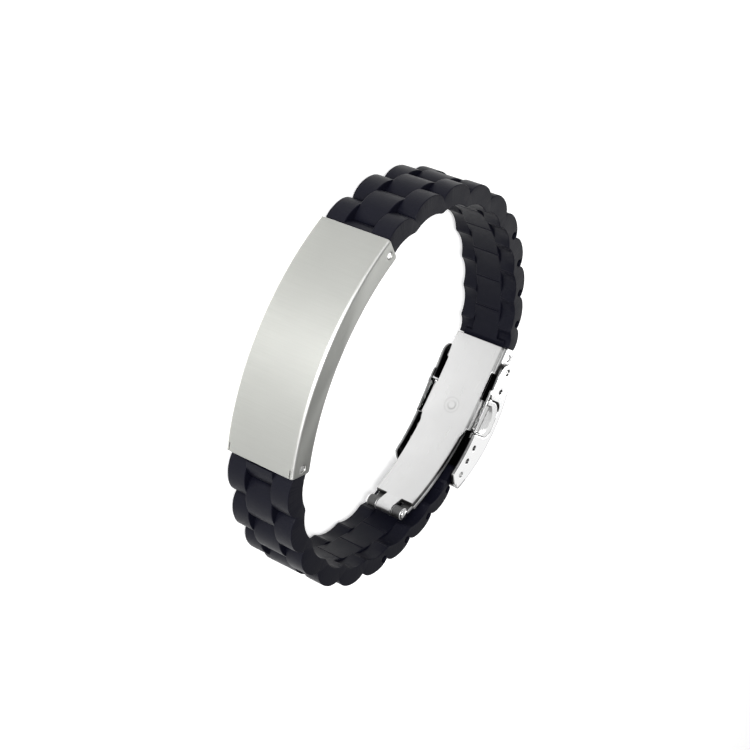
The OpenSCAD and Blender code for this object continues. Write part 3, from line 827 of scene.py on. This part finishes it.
# ---------------------------------------------------------------- Clasp cover
# The outer part of the clasp: sheet curved over the blades, with two tall sides. Each side has an
# arched slot for a push button, a round ear for the hinge pin, and holes for moving the strap's bar.

cover_r, cover_x, cover_y = 21.0, 0.3, 42.5
cover_half, cover_fold, cover_thick = 6.35, 0.42, 0.55
cover_left, cover_right = -10.0, 13.8
cover_ear, cover_ear_r = (-8, 58.65), 2
slot_left, slot_right, slot_top = -3.2, 3.6, 61.65
low_at, low_r = (1.5, 30.45), 26.0


def bend_cover(along, across, depth):
    """Round the cover's centre: the angle is the distance over the radius, and depth shortens the radius."""
    z, deep = folded(across, depth, cover_half, cover_fold)
    angle = along / cover_r
    return cover_x + (cover_r - deep) * np.sin(angle), cover_y + (cover_r - deep) * np.cos(angle), z


def to_cover(points, side=1):
    """Plan points on the cover's side to distances along and across its blank."""
    x, y = points[:, 0] - cover_x, points[:, 1] - cover_y
    depth = np.maximum(cover_r - np.hypot(x, y), cover_fold)
    return np.stack([cover_r * np.arctan2(x, y), side * side_band(cover_half, cover_fold, depth)], 1)


def open_line(corners, step=0.12):
    """Points along a broken line, from its first corner to its last. Corners with a radius are rounded."""
    loop = outline([c if len(c) == 3 else (*c, 0) for c in corners], step)
    last = np.hypot(*(loop - np.array(corners[-1])).T).argmin()
    return loop[:last + 1]


ear_turn = np.radians(np.linspace(180, 270, 36))
ear_line = np.concatenate([
    np.stack([np.full(12, cover_left), np.linspace(60.25, 58.8, 12)], 1),
    cover_ear + cover_ear_r * around(ear_turn)])
low_x = np.linspace(3.7, 11.1, 50)
low_line = np.stack([low_x, low_at[1] + np.sqrt(low_r ** 2 - (low_x - low_at[0]) ** 2)], 1)
low_y = low_at[1] + math.sqrt(low_r ** 2 - (slot_right - low_at[0]) ** 2)
side_line = np.concatenate([
    ear_line,
    open_line([(-7.9, 56.65), (slot_left, 56.65, 0.9), (slot_left, slot_top, 1.7),
               (slot_right, slot_top, 1.7), (slot_right, low_y, 0.2), (3.75, low_y)]),
    low_line[1:],
    open_line([(11.3, 54.55), (11.7, 54.4, 0.5), (12.6, 55.4, 1.5), (13.25, 56.4, 1.5),
               (cover_right, 58.1, 1.5), (cover_right, 62.6)])])
side_blank = to_cover(side_line)
cover_from = cover_r * math.asin((cover_left - cover_x) / cover_r)
cover_to = cover_r * math.asin((cover_right - cover_x) / cover_r)
flat_edge = cover_half - cover_fold
half_edge = np.concatenate([
    np.stack([np.full(60, cover_from), np.linspace(0.05, side_blank[0, 1] - 0.5, 60)], 1),
    side_blank,
    np.stack([np.full(60, cover_to), np.linspace(side_blank[-1, 1] - 0.05, 0.05, 60)], 1)])
cover_edge = np.concatenate([half_edge, half_edge[::-1] * (1, -1)])
bar_right = beside(path(route_start, right_arcs), right_bar_s, 0.0)
side_holes = [(*pin_place, 0.6)] + [(x, y, 0.48) for x, y in (
    bar_right, (8.55, 57.55), (5.95, 58.15), (-5.05, 59.55))]
cover_across = both_ways(np.concatenate([
    np.linspace(0, 5.6, 8), flat_edge + cover_fold * np.linspace(0, np.pi / 2, 8), np.linspace(6.6, 15, 17)]))
cover = piece("outer_cover", [blank(
    cover_edge, [to_cover(circle(x, y, r), side) for x, y, r in side_holes for side in (-1, 1)],
    grid(np.arange(cover_from - 4.5, cover_to + 1.5, 0.55), cover_across), cover_thick, 0.08, bend_cover)])
# The cover's cut rims are painted dark as shade, its back near black as shade, and its folds and sides near
# white as a painted highlight
cover_steel = steel(
    "cover_steel", dark=(0.3, 0.3, 0.297), light=(0.36, 0.36, 0.357), rim=(0.22, 0.22, 0.22),
    back=(0.012, 0.012, 0.013), back_from=0.2, back_to=0.5, skirt=(10.0, 4.6, 4.0), **polish)
cover.data.materials.append(cover_steel)
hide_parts("clasp_cover")
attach(cover, "bracelet")

# ---------------------------------------------------------------- Cover pin and clasp bars
# The cover turns on a plain steel pin through the middle blade's ears. Two stepped bars, like the
# plate's, hold the strap's ends in the inner blade and in the cover.

pin_profile = [(0, -6.15), (0.4, -6.15), (0.5, -6.05), (0.5, 6.05), (0.4, 6.15), (0, 6.15)]
for node, place, profile in (
        ("cover_pin", pin_place, pin_profile),
        ("clasp_bar_left", bar_left, stepped(0.6, 4.35, 0.5, 5.2)),
        ("clasp_bar_right", bar_right, stepped(0.65, 5.6, 0.43, 6.25))):
    rod = piece(node + "_turned", [turned_rod(*place, profile)], sheet=False)
    rod.data.materials.append(bar_steel)
    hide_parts(node)
    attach(rod, "bracelet")

# ---------------------------------------------------------------- Push buttons
# One polished pad in each arched slot of the cover, with a lens-shaped thumb bevel and a thin foot
# strip towards the wrist. Behind the slot a wider keeper holds it, and a small claw reaches to the blade.

bevel_at, bevel_half, bevel_high, bevel_slant = 0.6, 2.75, 2.4, 0.13
foot_y, mark_y = 57.7, 57.6
pad_face, neck_face, keeper_face, foot_face = 6.48, 5.95, 5.55, 6.2
neck_low = 58.5


def arch(gap, low):
    """The slot's outline, drawn in by a gap that is tight at the right: two round shoulders over a foot."""
    left, right, top = slot_left + gap, slot_right - min(gap, 0.05), slot_top - gap
    return outline([(left, low, 0.15), (right, low, 0.15), (right, top, 1.7), (left, top, 2.8)])


def thumb_bevel(x, y):
    """Depth of the pad's thumb bevel. It lies between a straight foot and an arched top, which is foot +
    2.4 (1 - |u|^p), where u goes from -1 to 1 and p is 2 at the pointed end, 5 at the round end. It
    deepens evenly from the arch to the foot, and the strip below the foot is a small step lower."""
    u = np.clip((x - bevel_at) / bevel_half, -1, 1)
    foot = foot_y - bevel_slant * x
    arched = bevel_high * (1 - np.abs(u) ** np.where(u < 0, 2, 5))
    ends = np.clip((1 - np.abs(u)) / 0.12, 0, 1)
    ends = ends * ends * (3 - 2 * ends)
    slope = 0.21 * (1 - np.clip((y - foot) / np.maximum(arched, 0.3), 0, 1))
    return ends * (slope + 0.09 * np.clip((foot - y) / 0.08, 0, 1))


def button_parts(side):
    """The blanks of one button: the pad with its bevel, the neck, the keeper, the claw and the foot. The
    pad's points lie in rows that slant with the bevel's foot, so that its step is a clean line."""
    def face(x, y, depth):
        """The pad's face, lowered by the bevel, which fades out through the sheet."""
        return x, y, side * (pad_face - depth - thumb_bevel(x, y) * np.clip(1 - depth / 0.5, 0, 1))

    def level_with(top, share=1.0):
        """A flat piece below a height, with its thickness taken at a share."""
        return lambda x, y, d: (x, y, side * (top - share * d))

    rows = np.concatenate([
        np.arange(56.1, 57.55, 0.1), [57.6, 57.62, 57.66, 57.7, 57.72], np.arange(57.8, 61.8, 0.065)])
    slanted = grid(np.arange(-2.85, 3.42, 0.075), rows)
    slanted[:, 1] -= bevel_slant * slanted[:, 0]
    pad = blank(arch(0.25, 56.3), [], slanted, 0.58, 0.12, face, clear=0.04)
    # The rim mark also shades the bevel in part, and the step below its foot in full
    x, y = pad[2][:, 0] * 1000, pad[2][:, 1] * 1000
    shade = 0.34 * np.clip(thumb_bevel(x, y) / 0.03, 0, 1) * (pad[2][:, 2] < 0.0001)
    pad[3][:] = np.maximum(pad[3], shade)
    pad[3][(np.abs(y - (mark_y - bevel_slant * x)) < 0.11) & (pad[2][:, 0] > -0.0021)] = 1
    neck = blank(arch(0.27, neck_low), [], no_spread, 1.0, 0.05, level_with(neck_face, 0.9))
    keeper = blank(arch(-0.35, neck_low), [], no_spread, 0.5, 0.06, level_with(keeper_face))
    claw = outline([(3.3, 56.9, 0.2), (4.6, 56.9, 0.2), (4.6, 60.3, 0.2), (3.3, 60.3, 0.2)])
    claw = blank(claw, [], no_spread, 0.5, 0.06, level_with(keeper_face))
    foot = outline([
        (-4.9, 56.35, 0.1), (-4.6, 56.02, 0.2), (3.35, 56.02, 0.1), (3.35, 56.5, 0.1), (-4.8, 56.5, 0.05)])
    foot = blank(foot, [], no_spread, 0.4, 0.06, level_with(foot_face, 0.75))
    return [pad, neck, keeper, claw, foot]


# The buttons' cut rims are painted dark as shade
button_steel = steel("button_steel", rim=(0.1, 0.1, 0.1), **bright)
for node, body, side in (("button_upper", "upper_button", 1), ("button_lower", "lower_button", -1)):
    button = piece(node + "_pad", button_parts(side), crease=25)
    button.data.materials.append(button_steel)
    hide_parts(node)
    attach(button, body)

# ---------------------------------------------------------------- Floor, light and camera
# A wide pale sheet under the bracelet, plain soft studio light, and the photograph's view.

lines, floor_low = 31, -0.00002
wide = np.linspace(-1.5, 1.5, lines)
floor_at = grid(wide, wide)
tile = np.arange(lines * lines).reshape(lines, lines)
floor_mesh = bpy.data.meshes.new("floor")
floor_mesh.from_pydata(np.column_stack([floor_at, np.full(len(floor_at), floor_low)]).tolist(), [], np.stack(
    [tile[:-1, :-1], tile[:-1, 1:], tile[1:, 1:], tile[1:, :-1]], -1).reshape(-1, 4).tolist())
floor = in_scene("floor", floor_mesh)
paper, paper_tree, paper_shader = new_material("paper")
paper_tone = put(paper_tree, "TexNoise", Scale=3.0, Detail=2.0)
paper_colour = blend(paper_tree, paper_tone.outputs[0], (0.9, 0.9, 0.9, 1), (0.93, 0.93, 0.93, 1))
paper_tree.links.new(paper_colour, paper_shader.inputs["Base Color"])
paper_shader.inputs["Roughness"].default_value = 0.9
paper_shader.inputs["Emission Color"].default_value = (1, 1, 1, 1)
paper_shader.inputs["Emission Strength"].default_value = 0.4
floor.data.materials.append(paper)

sky = bpy.data.worlds.new("studio")
bpy.context.scene.world = sky
sky.use_nodes = True
sky_tree, backdrop = sky.node_tree, sky.node_tree.nodes["Background"]
facing = put(sky_tree, "TexCoord").outputs["Generated"]
behind = put(sky_tree, "VectorMath", {"operation": "DOT_PRODUCT"}, n0=facing, n1=(0.0, 0.8, 0.6))
fade = remap(sky_tree, behind.outputs["Value"], -0.3, 0.7, 0.5, 0.42, interpolation_type="SMOOTHSTEP")
before = put(sky_tree, "VectorMath", {"operation": "DOT_PRODUCT"}, n0=facing, n1=(0.05, -0.975, 0.2))
front = remap(sky_tree, before.outputs["Value"], 0.78, 0.99, 0.0, 1.0, interpolation_type="SMOOTHSTEP")
sky_tree.links.new(maths(sky_tree, "ADD", fade, front), backdrop.inputs["Strength"])
backdrop.inputs["Color"].default_value = (1, 1, 1, 1)
bpy.context.scene.view_settings.view_transform = "Standard"


def soft_light(name, place, aim, size, power, high=None):
    """A soft box that faces its aim, square or with a height of its own."""
    light = bpy.data.lights.new(name, "AREA")
    light.shape, light.size, light.size_y, light.energy = "RECTANGLE", size, high or size, power
    made = in_scene(name, light)
    made.visible_camera = False
    made.location = place
    made.rotation_euler = (Vector(aim) - Vector(place)).to_track_quat("-Z", "Y").to_euler()


soft_light("top_box", (0.0, -0.24, 0.46), (0, 0, 0), 0.7, 0.85, 0.16)
soft_light("plate_strip", (0.012, -0.33, 0.17), (0, -0.032, 0.006), 0.1, 1.9, 0.3)
soft_light("back_box", (-0.07, 0.26, 0.165), (-0.01, -0.02, 0.013), 0.12, 0.11)
soft_light("clasp_card", (0.0, 0.13, 0.07), (0, 0.028, 0.013), 0.05, 0.004)

camera_at = Vector((-0.0020572, -0.2154832, 0.1276033))
look_at = Vector((0.0003099, -0.0052238, 0.0065))
roll = math.radians(112.515)
ahead = (look_at - camera_at).normalized()
level = ahead.cross(Vector((0, 0, 1))).normalized()
above = level.cross(ahead)
right = level * math.cos(roll) + above * math.sin(roll)
camera_data = bpy.data.cameras.new("camera")
camera_data.lens, camera_data.sensor_width = 72, 36
camera = in_scene("camera", camera_data)
turned = Matrix((right, (-ahead).cross(right), -ahead)).transposed().to_4x4()
camera.matrix_world = Matrix.Translation(camera_at) @ turned
bpy.context.scene.camera = camera
